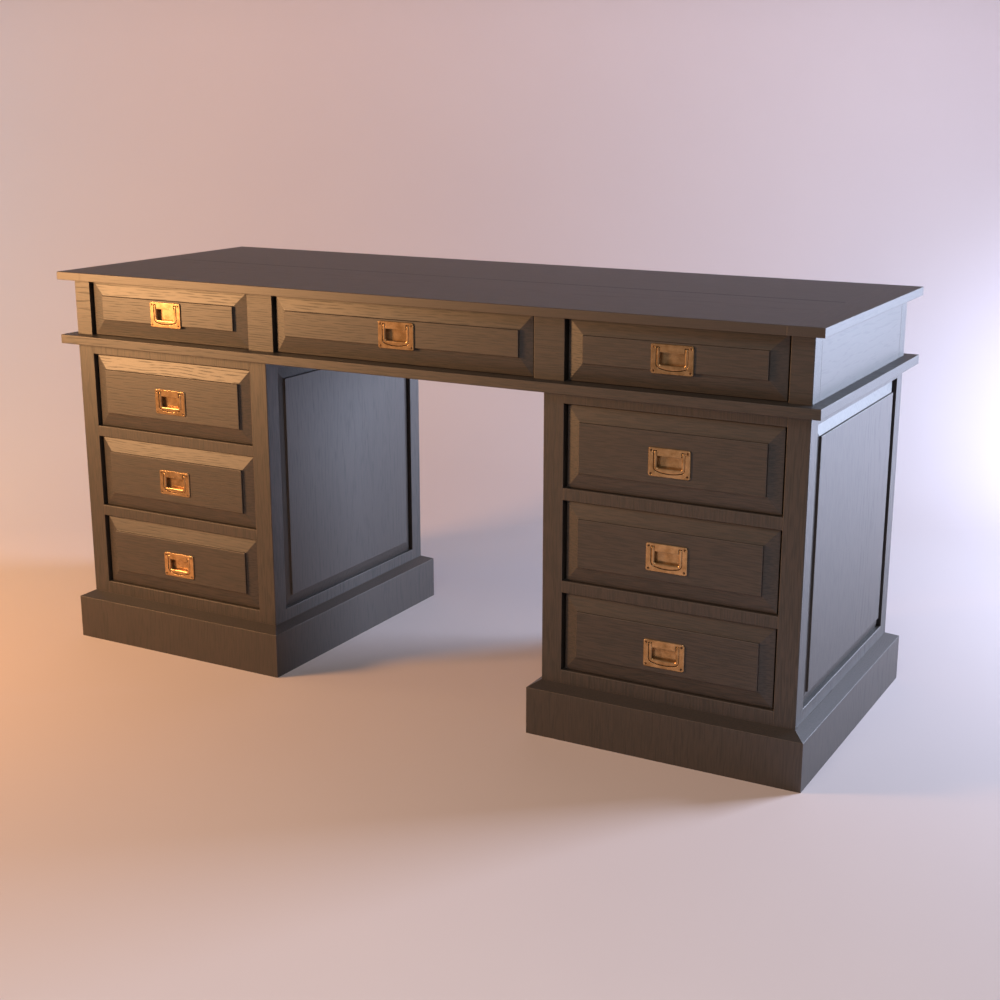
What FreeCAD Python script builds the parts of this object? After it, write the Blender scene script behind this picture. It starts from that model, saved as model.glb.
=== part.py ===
import FreeCAD, Part
import math
import os
import re
import Sketcher

# A pedestal desk: a desktop of three widths of board, a frieze case with three drawers,
# a waist board, and two pedestals with three drawers each.
# Lengths are in millimetres. The front faces -Y, +Z is up, and the origin lies on the floor
# below the middle of the desktop.

sizes = {
    # Desktop
    "top_overhang": 25,
    "top_end_overhang": 22.5,
    "top_thickness": 16,
    "end_board_width": 62,
    "front_board_depth": 308,
    "top_tongue_thickness": 6,
    "top_tongue_length": 10,
    "top_tongue_stop": 25,
    # Frieze case
    "case_length": 1555,
    "case_depth": 550,
    "frieze_height": 112,
    "centre_opening": 560,
    "stile_width": 58.5,
    "stile_thickness": 20,
    "partition_thickness": 19,
    "frieze_panel_thickness": 18,
    # Waist board
    "waist_overhang": 25,
    "waist_end_overhang": 22.5,
    "waist_thickness": 18,
    # Pedestal frame
    "pedestal_width": 478,
    "foot_height": 82,
    "post_width": 39,
    "post_depth": 36,
    "rail_thickness": 24,
    "top_rail_height": 21,
    "middle_rail_height": 22,
    "bottom_rail_height": 43,
    "tenon_thickness": 8,
    "tenon_length": 14,
    "tenon_shoulder": 3,
    "upper_opening": 150,
    "middle_opening": 148,
    "lower_opening": 146,
    "side_rail_thickness": 24,
    "side_top_rail_height": 20,
    "side_bottom_rail_height": 42,
    "inner_board_thickness": 18,
    # Panels held in grooves
    "tongue_setback": 9,
    "tongue_thickness": 7,
    "tongue_length": 8,
    "groove_depth": 10,
    "panel_margin": 23,
    "panel_step": 3.5,
    # Plinth
    "plinth_lap": 18,
    "plinth_slope": 11,
    "plinth_projection": 25,
    "plinth_outer_projection": 22.5,
    "plinth_inner_projection": 18.5,
    # Dowels between waist board and pedestals
    "dowel_radius": 5,
    "dowel_length": 26,
    "dowel_depth_below": 14,
    "dowel_side_inset": 89,
    "dowel_end_inset": 75,
    # Drawer runners and guides
    "guide_inset": 5.5,
    "guide_height": 20,
    "runner_tread": 34,
    # Drawer boxes
    "box_gap": 6.5,
    "running_gap": 0.3,
    "side_thickness": 12,
    "room_behind": 32.5,
    "headroom": 6,
    "drawer_back_thickness": 12,
    "drawer_bottom_thickness": 6,
    "drawer_bottom_rise": 8,
    "box_groove_depth": 5,
    # Drawer fronts
    "front_thickness": 22,
    "front_side_gap": 5,
    "front_top_gap": 2,
    "front_low_gap": 1,
    "front_projection": 2.5,
    "bevel_recess": 10,
    "bevel_step": 4.5,
    "pedestal_margin": 30,
    "frieze_side_margin": 34.5,
    "frieze_centre_margin": 29.5,
    "frieze_low_margin": 33.5,
    "frieze_top_margin": 30,
    "upper_pull_drop": 7,
    "middle_pull_drop": 3,
    "lower_pull_drop": 8,
    "frieze_pull_drop": 2,
    # Flush pull
    "plate_width": 76,
    "plate_height": 50,
    "plate_thickness": 2.5,
    "plate_corner": 4,
    "bail_width": 57,
    "bail_arm": 6,
    "bail_thickness": 5,
    "bail_drop": 19,
    "bar_top_drop": 10,
    "bow_radius": 84,
    "bail_corner": 8,
    "bail_inner_corner": 3,
    "bail_edge": 2.3,
    "bail_tip": 2.4,
    "bail_room": 0.6,
    "pivot_rise": 17,
    "arm_tip_rise": 2.5,
    "arm_tip_room": 1,
    "bridge_drop": 9,
    "pan_depth": 9.5,
    "pan_cheek": 2,
    "pan_wall": 1.2,
    "pan_floor": 1.2,
    "pan_round": 6,
    "pin_radius": 1.5,
    "pin_reach": 1.9,
    "pin_end_room": 0.3,
    # Pull screws
    "screw_across": 66,
    "screw_apart": 40,
    "screw_head_radius": 2.3,
    "screw_head_depth": 1.5,
    "screw_shank_radius": 1.2,
    "screw_length": 14,
    "slot_width": 0.7,
    "slot_depth": 0.6,
    # Fits and finish
    "slip": 0.2,
    "running_fit": 0.05,
    "arris": 0.8,
    "overrun": 3,
    "closeness": 0.05,
}

# Levels and positions that follow from the sizes
positions = {
    "top_length": "case_length + 2 * top_end_overhang",
    "top_depth": "case_depth + 2 * top_overhang",
    "waist_length": "case_length + 2 * waist_end_overhang",
    "waist_depth": "case_depth + 2 * waist_overhang",
    "case_front": "-case_depth / 2",
    "drawer_face": "case_front - front_projection",
    "pedestal_inner": "case_length / 2 - pedestal_width",
    "pedestal_middle": "case_length / 2 - pedestal_width / 2",
    "drawer_opening": "pedestal_width - 2 * post_width",
    "drawer_left": "pedestal_inner + post_width",
    "lower_level": "foot_height + bottom_rail_height",
    "middle_level": "lower_level + lower_opening + middle_rail_height",
    "upper_level": "middle_level + middle_opening + middle_rail_height",
    "pedestal_height": "upper_level + upper_opening + top_rail_height",
    "plinth_height": "foot_height + plinth_lap",
    "plinth_face_height": "plinth_height - plinth_slope",
    "floor_level": "lower_level - middle_rail_height",
    "side_low": "foot_height + side_bottom_rail_height",
    "side_high": "pedestal_height - side_top_rail_height",
    "frieze_level": "pedestal_height + waist_thickness",
    "desktop_level": "frieze_level + frieze_height",
    "frieze_opening": "case_length / 2 - post_width - centre_opening / 2 - stile_width",
    "side_span": "case_depth - 2 * post_depth",
    "side_length": "case_depth + front_projection - front_thickness - frieze_panel_thickness - room_behind",
    "dowel_spread_across": "pedestal_width - 2 * dowel_side_inset",
    "dowel_spread_deep": "case_depth - 2 * dowel_end_inset",
    "groove_width": "tongue_thickness + slip",
    "runner_front": "case_front + post_depth",
    "partition_left": "(centre_opening + stile_width - partition_thickness) / 2",
    "bail_half": "bail_width / 2",
    "bail_inner": "bail_width - 2 * bail_arm",
    "arm_tip": "pivot_rise + arm_tip_rise",
    "recess_half": "bail_half + bail_room",
    "recess_top": "arm_tip + arm_tip_room",
    "recess_drop": "bail_drop + bail_room",
    "pan_width": "2 * (recess_half + pan_cheek)",
    "pan_height": "2 * (recess_drop + pan_wall)",
    "pan_body": "pan_depth + pan_floor - plate_thickness",
    "pivot_depth": "bail_thickness / 2 - plate_thickness",
}

doc = FreeCAD.newDocument("pedestal_desk")
sheet = doc.addObject("Spreadsheet::Sheet", "values")
cells = [(name, str(value)) for name, value in sizes.items()]
cells += [(name, "=" + text) for name, text in positions.items()]
for row, (name, text) in enumerate(cells, start=1):
    sheet.set(f"A{row}", name)
    sheet.set(f"B{row}", text)
    sheet.setAlias(f"B{row}", name)
doc.recompute()


def bind(item, field, text):
    """Ties a property of an item to a sum of named sizes."""
    item.setExpression(field, re.sub(r"[a-z_]+", lambda word: "values." + word.group(0), text))


def place(item, at, turn=0):
    """Puts an item at a point, turned by whole quarters about the vertical."""
    quarter = FreeCAD.Rotation(FreeCAD.Vector(0, 0, 1), 90)
    rotation = FreeCAD.Rotation()
    for _ in range(turn):
        rotation = rotation.multiply(quarter)
    item.Placement = FreeCAD.Placement(FreeCAD.Vector(), rotation)
    for axis, text in zip("xyz", at):
        bind(item, "Placement.Base." + axis, text)
    return item


# Bodies made from outlines

def new_body(name):
    body = doc.addObject("PartDesign::Body", name)
    body.Label = name
    return body


def new_sketch(body, name, role, setback="0"):
    """Starts a sketch on one of the body's own planes, moved along the plane's normal."""
    sketch = body.newObject("Sketcher::SketchObject", body.Name + "_" + name)
    plane = next(item for item in body.Origin.OriginFeatures if item.Role == role)
    sketch.AttachmentSupport = (plane, [""])
    sketch.MapMode = "FlatFace"
    bind(sketch, "AttachmentOffset.Base.z", setback)
    return sketch


def fix_point(sketch, curve, point, at):
    """Holds one point of a sketch at distances from the origin, given as sums."""
    for kind, axis, text in (("DistanceX", -2, at[0]), ("DistanceY", -1, at[1])):
        if text == "0":
            sketch.addConstraint(Sketcher.Constraint("PointOnObject", curve, point, axis))
            continue
        index = sketch.addConstraint(Sketcher.Constraint(kind, -1, 1, curve, point, sizes["overrun"]))
        bind(sketch, f"Constraints[{index}]", text)


def outline(body, name, role, corners, setback="0"):
    """Draws a closed outline through corners given as pairs of sums."""
    sketch = new_sketch(body, name, role, setback)
    around = FreeCAD.Rotation(FreeCAD.Vector(0, 0, 1), -360 / len(corners))
    points = [FreeCAD.Vector(-sizes["overrun"], -sizes["overrun"], 0)]
    for _ in corners:
        points.append(around.multVec(points[-1]))
    for start, end in zip(points[:-1], points[1:]):
        sketch.addGeometry(Part.LineSegment(start, end))
    for line in range(len(corners)):
        follower = (line + 1) % len(corners)
        sketch.addConstraint(Sketcher.Constraint("Coincident", line, 2, follower, 1))
    for line, at in enumerate(corners):
        fix_point(sketch, line, 1, at)
    return sketch


def rectangle(body, name, role, low, high, setback="0"):
    corners = [low, (low[0], high[1]), high, (high[0], low[1])]
    return outline(body, name, role, corners, setback)


def pad(body, name, sketch, length, backwards=False):
    feature = body.newObject("PartDesign::Pad", body.Name + "_" + name)
    feature.Profile = sketch
    feature.Reversed = backwards
    bind(feature, "Length", length)
    sketch.Visibility = False
    return feature


def pocket(body, name, sketch, length):
    feature = body.newObject("PartDesign::Pocket", body.Name + "_" + name)
    feature.Profile = sketch
    bind(feature, "Length", length)
    sketch.Visibility = False
    return feature


def block(body, name, low, high, kind="Subtractive"):
    """Adds a block to a body, or takes one away, between two corners given as sums."""
    feature = body.newObject("PartDesign::" + kind + "Box", body.Name + "_" + name)
    for field, start, end in zip(("Length", "Width", "Height"), low, high):
        bind(feature, field, f"({end}) - ({start})")
    place(feature, low)
    return feature


def board(name, low, high):
    """Makes a board between two corners, drawn at its own origin and then placed."""
    body = new_body(name)
    spans = [f"({end}) - ({start})" for start, end in zip(low, high)]
    sketch = rectangle(body, "section", "XY_Plane", ("0", "0"), (spans[0], spans[1]))
    pad(body, "length", sketch, spans[2])
    place(body, low)
    return body


def edges_where(item, test):
    """Names the edges of an item whose two ends and middle pass a test."""
    names = []
    for index, edge in enumerate(item.Shape.Edges, start=1):
        middle = edge.valueAt((edge.FirstParameter + edge.LastParameter) / 2)
        points = [vertex.Point for vertex in edge.Vertexes] + [middle]
        if all(test(point) for point in points):
            names.append(f"Edge{index}")
    return names


def soften(body, test):
    """Takes the sharp arris off the edges of a body that pass a test."""
    doc.recompute()
    base = body.Tip
    feature = body.newObject("PartDesign::Chamfer", body.Name + "_arris")
    feature.Base = (base, edges_where(base, test))
    bind(feature, "Size", "arris")
    return feature


def near(first, second):
    return abs(first - second) < sizes["closeness"]


def on_rim(value, span):
    """Tells whether a coordinate lies at either end of a span that starts at zero."""
    return near(value, 0) or near(value, span)


def number(name):
    """Reads a size or a position from the sheet."""
    return float(sheet.get(name))


# Nodes: the named pieces that are written out

nodes = []


def group(name, items, at=("0", "0", "0")):
    """Gathers solids, which stay separate, and places them together."""
    gathered = doc.addObject("Part::Compound", name)
    gathered.Label = name
    gathered.Links = items
    return place(gathered, at)


def node(name, items, at=("0", "0", "0")):
    """Gathers solids into one of the named pieces of the desk."""
    nodes.append(group(name, items, at))
    return nodes[-1]


def mirror(name, source, middle="0"):
    """Reflects an item in an upright plane that faces along X."""
    image = doc.addObject("Part::Mirroring", name)
    image.Label = name
    image.Source = source
    image.Normal = FreeCAD.Vector(1, 0, 0)
    bind(image, "Base.x", middle)
    return image


def both_sides(name, item):
    """Gathers a piece of the right half and its reflection into one node."""
    return node(name, [item, mirror(item.Name + "_left", item)])


# Desktop: front and rear boards tongued into an end board at each end

half_board = "(top_length / 2 - end_board_width)"
seam = "(front_board_depth - top_depth / 2)"
tongue_low = "(top_thickness - top_tongue_thickness) / 2"
tongue_high = "(top_thickness + top_tongue_thickness) / 2"


def desktop_board(name, front, back, tongue_front, tongue_back):
    """Makes a long board with a tongue at each end, softened along its two long edges."""
    low = ("-" + half_board, front, "desktop_level")
    high = (half_board, back, "desktop_level + top_thickness")
    body = board(name + "_plank", low, high)
    doc.recompute()
    depth = body.Shape.BoundBox.YLength
    soften(body, lambda p: near(p.z, sizes["top_thickness"]) and on_rim(p.y, depth))
    block(body, "tongues", ("-top_tongue_length", tongue_front, tongue_low),
          (f"2 * {half_board} + top_tongue_length", tongue_back, tongue_high), "Additive")
    node(name, [body])


rear_depth = "(top_depth - front_board_depth)"
desktop_board("desktop_front_board", "-top_depth / 2", seam, "top_tongue_stop", "front_board_depth")
desktop_board("desktop_rear_board", seam, "top_depth / 2", "0", rear_depth + " - top_tongue_stop")

end_board = board(
    "end_board",
    (half_board, "-top_depth / 2", "desktop_level"),
    ("top_length / 2", "top_depth / 2", "desktop_level + top_thickness"),
)
soften(end_board, lambda p: near(p.z, sizes["top_thickness"])
       and (near(p.x, sizes["end_board_width"]) or on_rim(p.y, number("top_depth"))))
block(
    end_board, "groove",
    ("-overrun", "top_tongue_stop - slip", tongue_low + " - slip / 2"),
    ("top_tongue_length + slip", "top_depth - top_tongue_stop + slip", tongue_high + " + slip / 2"),
)
both_sides("desktop_end_boards", end_board)


# Corner posts, with a groove for the side panel and, at the back, one for the back panel

def corner_post(name, front, bottom, top, at_back):
    """Makes a post at an outer corner of the right half, its outer edge softened."""
    low = ("case_length / 2 - post_width", front, bottom)
    high = ("case_length / 2", front + " + post_depth", top)
    body = board(name, low, high)
    outer = sizes["post_depth"] if at_back else 0
    soften(body, lambda p: near(p.x, sizes["post_width"]) and near(p.y, outer))
    height = f"({top}) - ({bottom})"
    inner = "post_width - tongue_setback - groove_width"
    start = "-overrun" if at_back else "post_depth - groove_depth"
    end = "groove_depth" if at_back else "post_depth + overrun"
    block(body, "side_groove", (inner, start, "-overrun"),
          ("post_width - tongue_setback", end, height + " + overrun"))
    if at_back:
        deep = "post_depth - tongue_setback"
        block(body, "back_groove", ("-overrun", deep + " - groove_width", "-overrun"),
              ("groove_depth", deep, height + " + overrun"))
    return body


back_post_front = "(case_depth / 2 - post_depth)"


# Frieze case: posts, end panels, back, inner stiles and partitions

frieze = ("frieze_level", "desktop_level")
frieze_front_post = corner_post("frieze_front_post", "case_front", *frieze, False)
frieze_back_post = corner_post("frieze_back_post", back_post_front, *frieze, True)
both_sides("frieze_posts", group("right_frieze_posts", [frieze_front_post, frieze_back_post]))

tongue_far = "frieze_panel_thickness - tongue_setback"
end_panel = board(
    "frieze_end_panel",
    ("case_length / 2 - frieze_panel_thickness", "case_front + post_depth", "frieze_level"),
    ("case_length / 2", back_post_front, "desktop_level"),
)
soften(end_panel, lambda p: near(p.x, sizes["frieze_panel_thickness"]) and on_rim(p.y, number("side_span")))
block(end_panel, "tongues",
      (tongue_far + " - tongue_thickness", "-tongue_length", "0"),
      (tongue_far, "side_span + tongue_length", "frieze_height"), "Additive")
both_sides("frieze_end_panels", end_panel)

half_back = "(case_length / 2 - post_width)"
frieze_back = board(
    "frieze_back_board",
    ("-" + half_back, "case_depth / 2 - frieze_panel_thickness", "frieze_level"),
    (half_back, "case_depth / 2", "desktop_level"),
)
block(frieze_back, "tongues",
      ("-tongue_length", tongue_far + " - tongue_thickness", "0"),
      (f"2 * {half_back} + tongue_length", tongue_far, "frieze_height"), "Additive")
node("frieze_back", [frieze_back])

stile_right = "(centre_opening / 2 + stile_width)"
both_sides("frieze_stiles", board(
    "frieze_stile",
    ("centre_opening / 2", "case_front", "frieze_level"),
    (stile_right, "case_front + stile_thickness", "desktop_level"),
))
both_sides("frieze_partitions", board(
    "frieze_partition",
    ("partition_left", "case_front + stile_thickness", "frieze_level"),
    ("partition_left + partition_thickness", "case_depth / 2 - frieze_panel_thickness", "desktop_level"),
))

# Guides on the waist board keep the frieze drawers straight
guide_spans = {
    "centre": ("centre_opening / 2 - guide_inset", "partition_left"),
    "inner": ("partition_left + partition_thickness", stile_right + " + guide_inset"),
    "outer": (half_back + " - guide_inset", "case_length / 2 - frieze_panel_thickness"),
}
guides = [
    board(f"frieze_{name}_guide", (start, "runner_front", "frieze_level"),
          (end, "-runner_front", "frieze_level + guide_height"))
    for name, (start, end) in guide_spans.items()
]
both_sides("frieze_drawer_guides", group("right_frieze_guides", guides))


# Waist board, with the dowels that locate it on the pedestals

def circle(sketch, index, centre, radius):
    """Draws the next circle of a sketch, its centre a pair of sums and its radius a sum."""
    sketch.addGeometry(Part.Circle(FreeCAD.Vector(), FreeCAD.Vector(0, 0, 1), sizes["overrun"]))
    fix_point(sketch, index, 3, centre)
    ring = sketch.addConstraint(Sketcher.Constraint("Radius", index, sizes["overrun"]))
    bind(sketch, f"Constraints[{ring}]", radius)


def holes(body, name, role, centres, radius, depth, setback="0", backwards=False):
    """Drills round holes at centres given as pairs of sums."""
    sketch = new_sketch(body, name + "_centres", role, setback)
    for index, centre in enumerate(centres):
        circle(sketch, index, centre, radius)
    feature = pocket(body, name, sketch, depth)
    feature.Reversed = backwards


dowel_places = [
    (f"pedestal_middle {across} dowel_spread_across / 2", f"{deep}dowel_spread_deep / 2")
    for across in "+-"
    for deep in ("", "-")
]
waist = board(
    "waist_plank",
    ("-waist_length / 2", "-waist_depth / 2", "pedestal_height"),
    ("waist_length / 2", "waist_depth / 2", "frieze_level"),
)
soften(waist, lambda p: on_rim(p.z, sizes["waist_thickness"]))
waist_holes = [
    (f"waist_length / 2 {side} ({across})", f"waist_depth / 2 + {deep}")
    for side in "+-"
    for across, deep in dowel_places
]
holes(waist, "dowel_holes", "XY_Plane", waist_holes, "dowel_radius + running_fit",
      "dowel_length - dowel_depth_below + slip", backwards=True)
node("waist_board", [waist])

dowels = []
for index, (across, deep) in enumerate(dowel_places):
    pin = doc.addObject("Part::Cylinder", f"dowel_{index}")
    bind(pin, "Radius", "dowel_radius")
    bind(pin, "Height", "dowel_length")
    dowels.append(place(pin, (across, deep, "pedestal_height - dowel_depth_below")))
both_sides("locating_dowels", group("right_dowels", dowels))


# Raised fields: a flat field that stands out of a sloping border

def raise_field(body, low, high, inner_low, inner_high, step, recess):
    """Adds a sloping border between two corners of an upright face, then the field on it.

    The border rises from the recess depth at its rim to the step depth at the field.
    """
    border = body.newObject("PartDesign::AdditiveWedge", body.Name + "_border")
    bind(border, "Ymin", step)
    bind(border, "Ymax", recess)
    for axis, start, end, inner_start, inner_end in zip("XZ", low, high, inner_low, inner_high):
        bind(border, axis + "min", inner_start)
        bind(border, axis + "max", inner_end)
        bind(border, axis + "2min", start)
        bind(border, axis + "2max", end)
    sketch = rectangle(body, "field_outline", "XZ_Plane", inner_low, inner_high, "-" + step)
    pad(body, "field", sketch, step)
    soften(body, lambda p: near(p.y, 0))


# Right pedestal, then its reflection on the left

def pedestal_node(name, items):
    """Gathers pieces of the right pedestal, and reflects them for the left one."""
    right = node("right_pedestal_" + name, items)
    nodes.append(mirror("left_pedestal_" + name, right))


def with_twin(item):
    """Returns a piece of the pedestal's outer side with its reflection on the inner side."""
    return [item, mirror(item.Name + "_inner", item, "pedestal_middle")]


front_rails = {
    "top": ("pedestal_height - top_rail_height", "top_rail_height"),
    "upper": ("upper_level - middle_rail_height", "middle_rail_height"),
    "lower": ("middle_level - middle_rail_height", "middle_rail_height"),
    "bottom": ("foot_height", "bottom_rail_height"),
}
tenon_front = "(rail_thickness - tenon_thickness) / 2"
tenon_back = "(rail_thickness + tenon_thickness) / 2"

front_post = corner_post("pedestal_front_post", "case_front", "0", "pedestal_height", False)
rails = []
for name, (level, height) in front_rails.items():
    rail = board(
        f"front_{name}_rail",
        ("drawer_left", "case_front", level),
        ("drawer_left + drawer_opening", "case_front + rail_thickness", f"{level} + {height}"),
    )
    doc.recompute()
    rise = rail.Shape.BoundBox.ZLength
    soften(rail, lambda p: near(p.y, 0) and on_rim(p.z, rise))
    block(rail, "tenons", ("-tenon_length", tenon_front, "tenon_shoulder"),
          ("drawer_opening + tenon_length", tenon_back, height + " - tenon_shoulder"), "Additive")
    rails.append(rail)
    block(front_post, name + "_mortise",
          ("-overrun", tenon_front + " - slip / 2", f"{level} + tenon_shoulder - slip"),
          ("tenon_length + slip", tenon_back + " + slip / 2", f"{level} + {height} - tenon_shoulder + slip"))
back_post = corner_post("pedestal_back_post", back_post_front, "0", "pedestal_height", True)
pedestal_node("posts", with_twin(front_post) + with_twin(back_post))

side_rails = {"top": ("side_high", "pedestal_height"), "bottom": ("foot_height", "side_low")}
rail_tongue = "side_rail_thickness - tongue_setback"
for name, (bottom, top) in side_rails.items():
    rail = board(
        f"side_{name}_rail",
        ("case_length / 2 - side_rail_thickness", "case_front + post_depth", bottom),
        ("case_length / 2", back_post_front, top),
    )
    height = f"({top} - ({bottom}))"
    opening_edge = 0 if name == "top" else number("side_bottom_rail_height")
    soften(rail, lambda p: near(p.z, opening_edge) and near(p.x, sizes["side_rail_thickness"]))
    block(rail, "tongues", (rail_tongue + " - tongue_thickness", "-tongue_length", "0"),
          (rail_tongue, "side_span + tongue_length", height), "Additive")
    start = "-overrun" if name == "top" else height + " - groove_depth"
    end = "groove_depth" if name == "top" else height + " + overrun"
    block(rail, "groove", (rail_tongue + " - groove_width", "-tongue_length - overrun", start),
          (rail_tongue, "side_span + tongue_length + overrun", end))
    rails += with_twin(rail)
pedestal_node("frame_rails", rails)

side_panel = new_body("side_panel")
panel_sketch = rectangle(
    side_panel, "tongue_outline", "XZ_Plane",
    ("post_depth - tongue_length", "side_low - tongue_length"),
    ("case_depth - post_depth + tongue_length", "side_high + tongue_length"), "-tongue_setback",
)
pad(side_panel, "tongue", panel_sketch, "tongue_thickness", True)
raise_field(
    side_panel, ("post_depth + slip", "side_low + slip"),
    ("case_depth - post_depth - slip", "side_high - slip"),
    ("post_depth + panel_margin", "side_low + panel_margin"),
    ("case_depth - post_depth - panel_margin", "side_high - panel_margin"),
    "panel_step", "tongue_setback",
)
place(side_panel, ("case_length / 2", "case_front", "0"), 1)
pedestal_node("side_panels", with_twin(side_panel))

panel_back = "(case_depth / 2 - tongue_setback)"
pedestal_node("back_panel", [board(
    "back_panel",
    ("drawer_left - tongue_length", panel_back + " - tongue_thickness", "foot_height"),
    ("drawer_left + drawer_opening + tongue_length", panel_back, "pedestal_height"),
)])

# Top and floor boards, notched round the posts
inner_boards = []
board_span = "(pedestal_width - 2 * side_rail_thickness)"
notch = "(post_width - side_rail_thickness + slip)"
front_notch = "(post_depth - rail_thickness + slip)"
back_notch = "(post_depth - tongue_setback - tongue_thickness + slip)"
board_depth = "(case_depth - rail_thickness - tongue_setback - tongue_thickness)"
notches_across = [("-overrun", notch), (f"{board_span} - {notch}", board_span + " + overrun")]
notches_deep = [("-overrun", front_notch), (f"{board_depth} - {back_notch}", board_depth + " + overrun")]
for name, top in (("top", "pedestal_height"), ("floor", "floor_level")):
    under = top + " - inner_board_thickness"
    body = board(
        f"pedestal_{name}_board",
        ("pedestal_inner + side_rail_thickness", "case_front + rail_thickness", under),
        ("case_length / 2 - side_rail_thickness", panel_back + " - tongue_thickness", top),
    )
    for column, (start, end) in enumerate(notches_across):
        for row, (near_end, far_end) in enumerate(notches_deep):
            block(body, f"notch_{column}_{row}", (start, near_end, "-overrun"),
                  (end, far_end, "inner_board_thickness + overrun"))
    inner_boards.append(body)
top_holes = [
    (f"{across} - pedestal_inner - side_rail_thickness", f"{deep} - case_front - rail_thickness")
    for across, deep in dowel_places
]
holes(inner_boards[0], "dowel_holes", "XY_Plane", top_holes, "dowel_radius + running_fit",
      "dowel_depth_below + slip", "inner_board_thickness")
pedestal_node("boards", inner_boards)

# Drawer runners: a tread under the drawer side and a guide beside it
runners = []
runner_width = "(runner_tread + guide_inset + post_width - side_rail_thickness)"
for name in ("upper", "middle", "lower"):
    runner = new_body(f"{name}_runner")
    corners = [
        ("0", "0"),
        ("0", "middle_rail_height"),
        ("runner_tread", "middle_rail_height"),
        ("runner_tread", "middle_rail_height + guide_height"),
        (runner_width, "middle_rail_height + guide_height"),
        (runner_width, "0"),
    ]
    pad(runner, "length", outline(runner, "profile", "XZ_Plane", corners), "side_span", True)
    place(runner, (f"case_length / 2 - side_rail_thickness - {runner_width}", "runner_front",
                   f"{name}_level - middle_rail_height"))
    runners += with_twin(runner)
both_sides("pedestal_drawer_runners", group("right_runners", runners))


# Plinth: four skirting boards mitred round the foot of the pedestal

def skirting(name, length, start, end, thickness):
    """Makes one skirting board, outer face on the X axis, with mitred ends and a sloping top."""
    body = new_body(name)
    foot = [("0", "0"), (start, thickness), (f"{length} - {end}", thickness), (length, "0")]
    pad(body, "height", outline(body, "foot", "XY_Plane", foot), "plinth_height")
    slope = [("0", "plinth_face_height"), ("0", "plinth_height"), (thickness, "plinth_height")]
    feature = pocket(body, "slope", outline(body, "slope_profile", "YZ_Plane", slope), length)
    feature.Reversed = True
    return body


out, outward, inward = "plinth_projection", "plinth_outer_projection", "plinth_inner_projection"
across, along = f"(pedestal_width + {outward} + {inward})", f"(case_depth + 2 * {out})"
inner_x, outer_x = f"pedestal_inner - {inward}", f"case_length / 2 + {outward}"
front_y, back_y = f"case_front - {out}", f"case_depth / 2 + {out}"
pedestal_node("plinth", [
    place(skirting("front_skirting", across, inward, outward, out), (inner_x, front_y, "0")),
    place(skirting("outer_skirting", along, out, out, outward), (outer_x, front_y, "0"), 1),
    place(skirting("back_skirting", across, outward, inward, out), (outer_x, back_y, "0"), 2),
    place(skirting("inner_skirting", along, out, out, inward), (inner_x, back_y, "0"), 3),
])


# Drawers, drawn with the origin at the lower left corner of the opening

box_inner = "(box_gap + side_thickness)"
bottom_slot = "(drawer_bottom_thickness + slip)"
box_back = "(front_thickness + side_length)"


def drawer(kind, width, height, margin, low_margin, top_margin, pull_drop):
    """Makes the front and the box of one size of drawer, and says where its pull goes."""
    front = new_body(kind + "_drawer_front")
    low = ("front_side_gap", "front_low_gap")
    high = (f"{width} - front_side_gap", f"{height} - front_top_gap")
    slab = rectangle(front, "slab_outline", "XZ_Plane", low, high, "-bevel_recess")
    pad(front, "slab", slab, "front_thickness - bevel_recess", True)
    field_high = (f"{width} - {margin}", f"{height} - {top_margin}")
    raise_field(front, low, high, (margin, low_margin), field_high, "bevel_step", "bevel_recess")

    middle = (f"{width} / 2", f"({height} / 2 - {pull_drop})")
    reach = ("(pan_width / 2 + slip)", "(pan_height / 2 + slip)")
    mortise_low = [f"{centre} - {half}" for centre, half in zip(middle, reach)]
    mortise_high = [f"{centre} + {half}" for centre, half in zip(middle, reach)]
    mortise = rectangle(front, "mortise_outline", "XZ_Plane", mortise_low, mortise_high)
    pocket(front, "mortise", mortise, "pan_body + slip")
    pilots = [
        (f"{middle[0]} {across} screw_across / 2", f"{middle[1]} {up} screw_apart / 2")
        for across in "+-"
        for up in "+-"
    ]
    holes(front, "pilot_holes", "XZ_Plane", pilots, "screw_shank_radius + running_fit",
          "screw_length - plate_thickness + slip")
    block(front, "bottom_groove",
          (box_inner + " - box_groove_depth", "front_thickness - box_groove_depth", "drawer_bottom_rise"),
          (f"{width} - {box_inner} + box_groove_depth", "front_thickness + overrun",
           f"drawer_bottom_rise + {bottom_slot}"))

    side = board(kind + "_drawer_side", ("box_gap", "front_thickness", "running_gap"),
                 (box_inner, box_back, f"{height} - headroom"))
    slot_low = "drawer_bottom_rise - running_gap"
    block(side, "bottom_groove", ("side_thickness - box_groove_depth", "-overrun", slot_low),
          ("side_thickness + overrun", "side_length + overrun", f"{slot_low} + {bottom_slot}"))
    other_side = mirror(kind + "_drawer_other_side", side, f"{width} / 2")
    back = board(kind + "_drawer_back",
                 (box_inner, box_back + " - drawer_back_thickness", f"drawer_bottom_rise + {bottom_slot}"),
                 (f"{width} - {box_inner}", box_back, f"{height} - headroom"))
    edge = f"({box_inner} - box_groove_depth + slip)"
    bottom = board(kind + "_drawer_bottom",
                   (edge, "front_thickness - box_groove_depth + slip", "drawer_bottom_rise"),
                   (f"{width} - {edge}", box_back, "drawer_bottom_rise + drawer_bottom_thickness"))
    return front, [side, other_side, back, bottom], middle


# Flush pull, drawn about the middle of its plate with the drawer face at zero depth

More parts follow.
